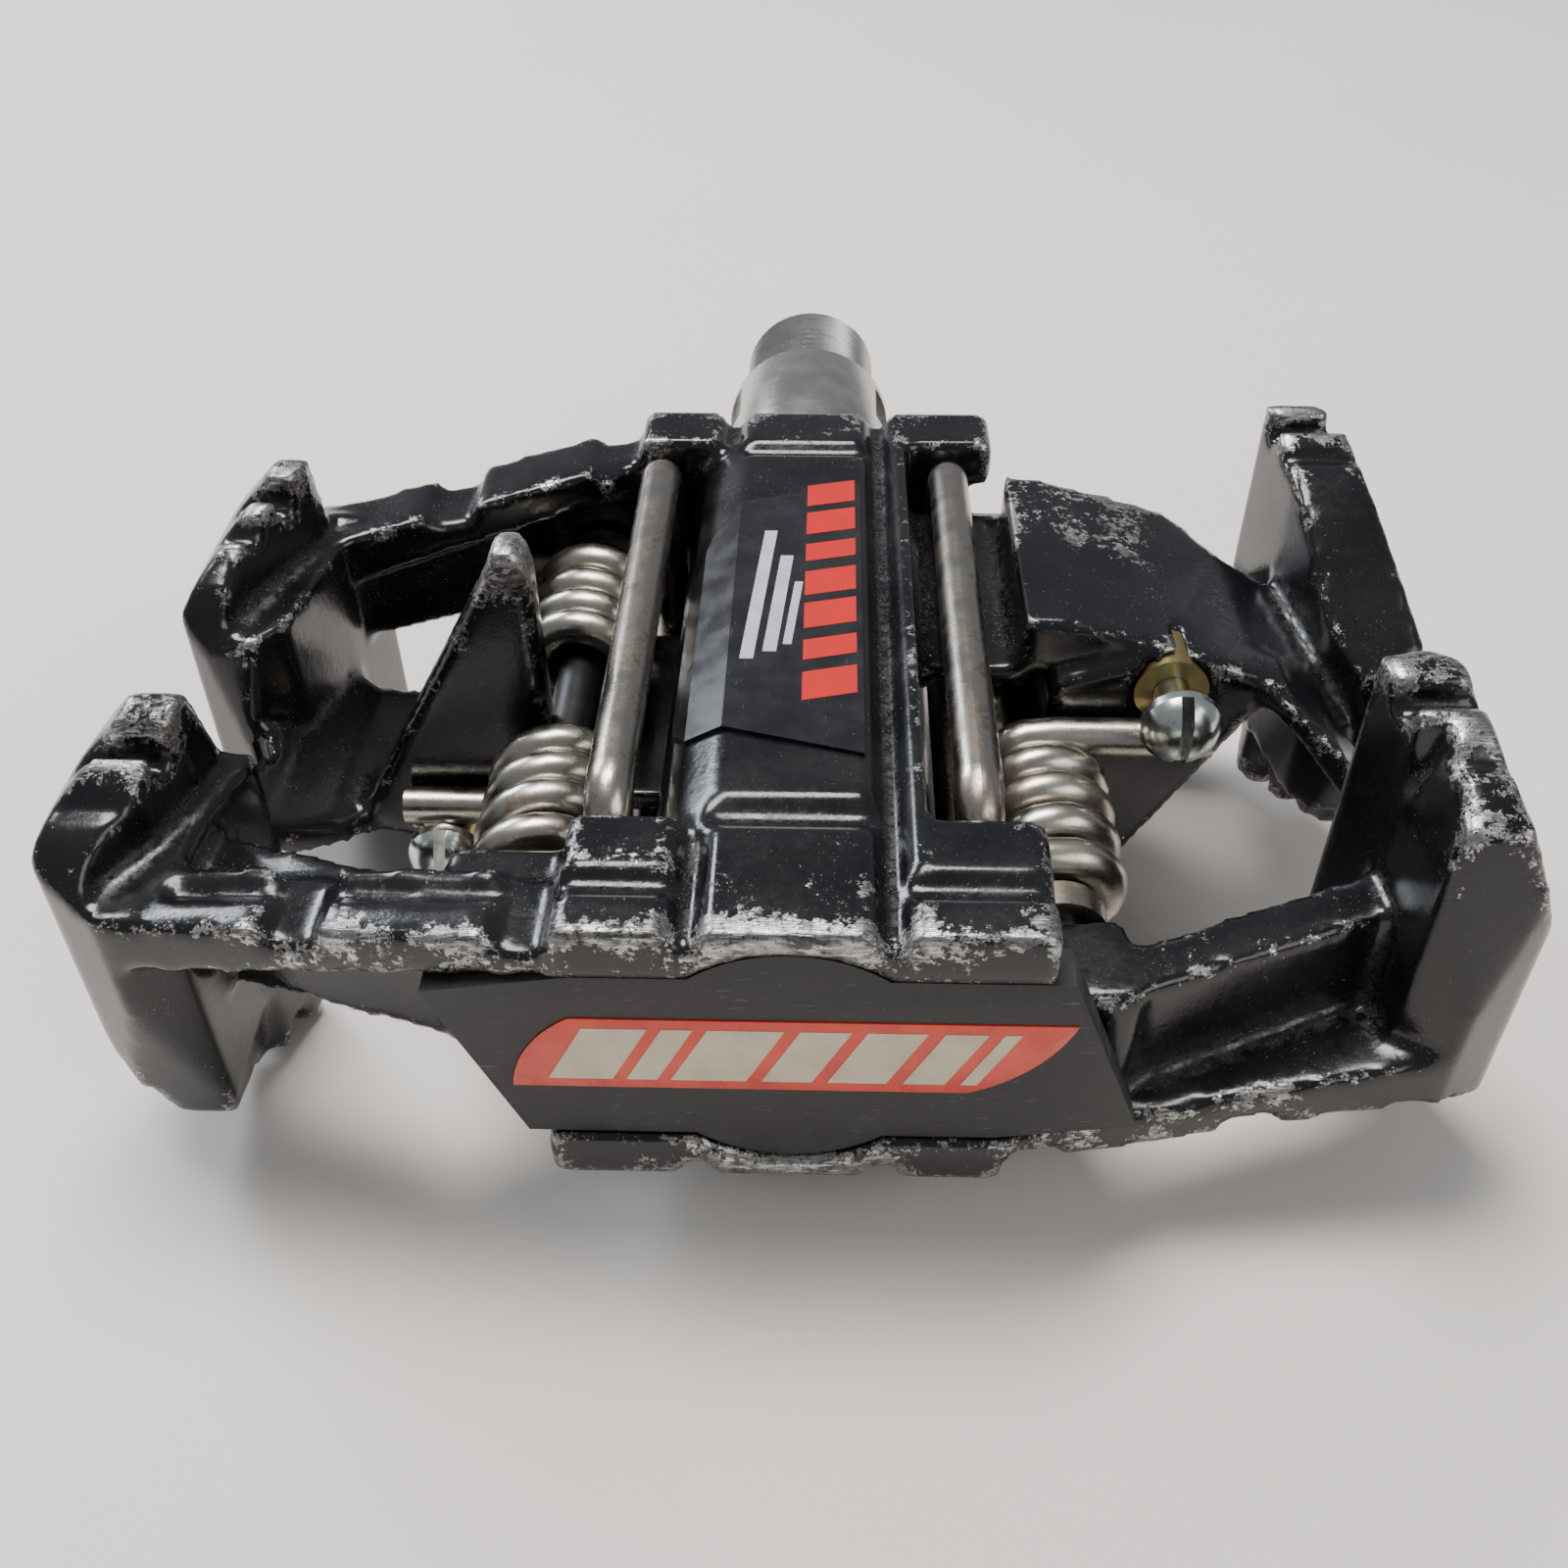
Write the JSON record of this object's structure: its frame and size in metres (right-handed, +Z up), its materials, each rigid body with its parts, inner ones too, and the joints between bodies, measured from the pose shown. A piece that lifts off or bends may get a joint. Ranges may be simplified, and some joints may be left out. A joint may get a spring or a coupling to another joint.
{
  "type": "clipless bicycle pedal",
  "caption": "Double-sided clipless pedal: clawed alloy cage, sprung cleat bails front and rear, sealed spindle with a crank thread.",
  "frame": {"origin": "spindle axis at the shoulder that seats against the crank arm", "axes": "+Y along the spindle into the crank, X along the direction of travel, +Z up"},
  "size_m": [0.1146, 0.1085, 0.041],
  "materials": {
    "cage_paint": "black paint over cast aluminium, worn bright on the teeth and edges",
    "cap_plastic": "matt black moulded plastic",
    "badge_lens": "red and cream inlay under a clear coat",
    "label_film": "glossy black printed film",
    "seal_rubber": "black rubber lip seal",
    "bearing_steel": "ground bearing steel",
    "cage_brass": "brass bearing cage",
    "spring_steel": "bright spring wire with grime between the turns",
    "bar_steel": "bare steel bar, brown in the pits and polished where the cleat rubs",
    "black_steel": "blackened steel rod",
    "zinc_steel": "bright zinc plated steel",
    "bush_brass": "tarnished brass",
    "spindle_steel": "turned steel"
  },
  "bodies": {
    "cage": {"pedal_body": "cage_paint", "end_cap": "cap_plastic", "cap_badge": "badge_lens", "top_label": "label_film", "bottom_label": "label_film", "inboard_seal": "seal_rubber", "needle_shell": "bearing_steel", "bearing_outer_race": "bearing_steel", "bearing_shields": "bearing_steel", "bearing_clip": "spring_steel", "front_pivot_rod": "black_steel", "rear_pivot_rod": "black_steel", "front_spring_outboard": "spring_steel", "front_spring_inboard": "spring_steel", "rear_spring_outboard": "spring_steel", "rear_spring_inboard": "spring_steel", "front_adjuster_bush": "bush_brass", "rear_adjuster_bush": "bush_brass"},
    "spindle": {"spindle": "spindle_steel", "bearing_inner_race": "bearing_steel", "axle_washer": "zinc_steel", "axle_nut": "zinc_steel"},
    "ball_set": {"bearing_balls": "bearing_steel", "bearing_cage": "cage_brass"},
    "needle_set": {"needle_rollers": "bearing_steel", "needle_cage": "cage_brass"},
    "front_bail": {"front_bail": "bar_steel"},
    "rear_bail": {"rear_bail": "bar_steel"},
    "front_adjuster": {"front_adjuster_screw": "zinc_steel"},
    "rear_adjuster": {"rear_adjuster_screw": "zinc_steel"}
  },
  "joints": [
    {"name": "spindle_spin", "type": "hinge", "parent": "cage", "child": "spindle", "pos_m": [0, -0.04, 0], "axis": [0, 1, 0], "continuous": true},
    {"name": "ball_set_spin", "type": "hinge", "parent": "cage", "child": "ball_set", "pos_m": [0, -0.085, 0], "axis": [0, 1, 0], "continuous": true},
    {"name": "needle_set_spin", "type": "hinge", "parent": "cage", "child": "needle_set", "pos_m": [0, -0.035, 0], "axis": [0, 1, 0], "continuous": true},
    {"name": "front_bail_swing", "type": "hinge", "parent": "cage", "child": "front_bail", "pos_m": [-0.0203, -0.0595, 0], "axis": [0, 1, 0], "range_deg": [-8, 8], "stiffness_Nm_per_rad": 4, "deforming": ["front_spring_outboard", "front_spring_inboard"]},
    {"name": "rear_bail_swing", "type": "hinge", "parent": "cage", "child": "rear_bail", "pos_m": [0.0203, -0.0595, 0], "axis": [0, 1, 0], "range_deg": [-8, 8], "stiffness_Nm_per_rad": 4, "deforming": ["rear_spring_outboard", "rear_spring_inboard"]},
    {"name": "front_adjuster_turn", "type": "hinge", "parent": "cage", "child": "front_adjuster", "pos_m": [-0.031, -0.0595, -0.0078], "axis": [0, 1, 0], "range_deg": [-90, 90]},
    {"name": "rear_adjuster_turn", "type": "hinge", "parent": "cage", "child": "rear_adjuster", "pos_m": [0.031, -0.0595, 0.0078], "axis": [0, 1, 0], "range_deg": [-90, 90]}
  ],
  "couplings": [
    {"joint": "ball_set_spin", "follows": "spindle_spin", "ratio": 0.3889},
    {"joint": "needle_set_spin", "follows": "spindle_spin", "ratio": 0.4267}
  ]
}
